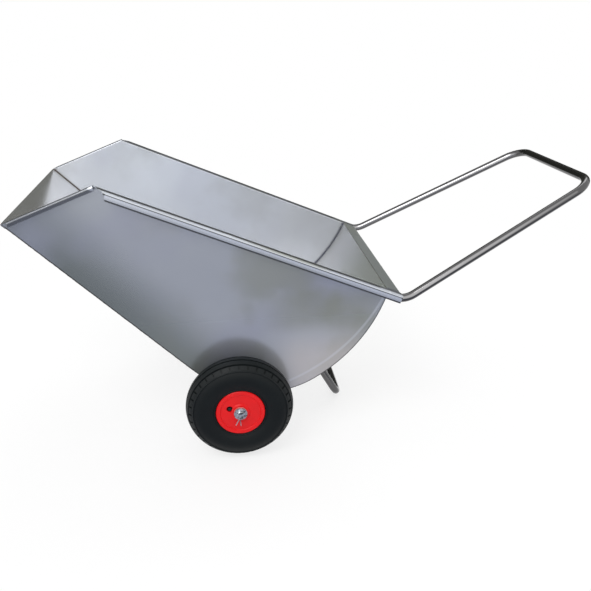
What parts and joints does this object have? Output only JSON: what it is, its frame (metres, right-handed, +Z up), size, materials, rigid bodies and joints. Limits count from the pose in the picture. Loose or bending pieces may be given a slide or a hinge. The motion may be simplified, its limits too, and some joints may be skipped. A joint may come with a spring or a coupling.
{
  "type": "wheelbarrow",
  "caption": "Two-wheeled tipping barrow: folded stainless sheet tray with a bent tube handle, a tube stand, and pneumatic wheels on red plastic rims.",
  "frame": {"origin": "on the ground, below the middle of the part's box", "axes": "+X from the front lip to the grip bar, +Y to the right-hand wheel, +Z up"},
  "size_m": [1.387, 0.7372, 0.669],
  "materials": {
    "tray_steel": "satin mill finish stainless sheet",
    "frame_steel": "satin stainless",
    "zinc_steel": "bright zinc plate",
    "tyre_rubber": "matte black rubber",
    "tube_rubber": "smooth black rubber",
    "red_plastic": "moulded red plastic",
    "white_nylon": "natural nylon",
    "valve_brass": "plain brass",
    "cap_plastic": "black plastic"
  },
  "bodies": {
    "frame": {"side_panel_left": "tray_steel", "side_panel_right": "tray_steel", "floor_sheet": "tray_steel", "handle_tube": "frame_steel", "axle": "zinc_steel", "axle_bracket_left": "frame_steel", "axle_bracket_right": "frame_steel", "stand_tube": "frame_steel", "stand_doubler_left": "frame_steel", "stand_doubler_right": "frame_steel", "axle_collar_left": "zinc_steel", "axle_collar_right": "zinc_steel", "inner_washer_left": "zinc_steel", "inner_washer_right": "zinc_steel", "outer_washer_left": "zinc_steel", "outer_washer_right": "zinc_steel", "split_pin_left": "zinc_steel", "split_pin_right": "zinc_steel"},
    "wheel_left": {"tyre_left": "tyre_rubber", "inner_tube_left": "tube_rubber", "rim_outer_half_left": "red_plastic", "rim_inner_half_left": "red_plastic", "rim_screws_left": "zinc_steel", "outer_hub_bush_left": "white_nylon", "inner_hub_bush_left": "white_nylon", "valve_stem_left": "valve_brass", "valve_cap_left": "cap_plastic"},
    "wheel_right": {"tyre_right": "tyre_rubber", "inner_tube_right": "tube_rubber", "rim_outer_half_right": "red_plastic", "rim_inner_half_right": "red_plastic", "rim_screws_right": "zinc_steel", "outer_hub_bush_right": "white_nylon", "inner_hub_bush_right": "white_nylon", "valve_stem_right": "valve_brass", "valve_cap_right": "cap_plastic"}
  },
  "joints": [
    {"name": "wheel_spin_left", "type": "hinge", "parent": "frame", "child": "wheel_left", "pos_m": [-0.19748, -0.323, 0.13], "axis": [0, 1, 0], "continuous": true},
    {"name": "wheel_spin_right", "type": "hinge", "parent": "frame", "child": "wheel_right", "pos_m": [-0.19748, 0.323, 0.13], "axis": [0, 1, 0], "continuous": true}
  ]
}
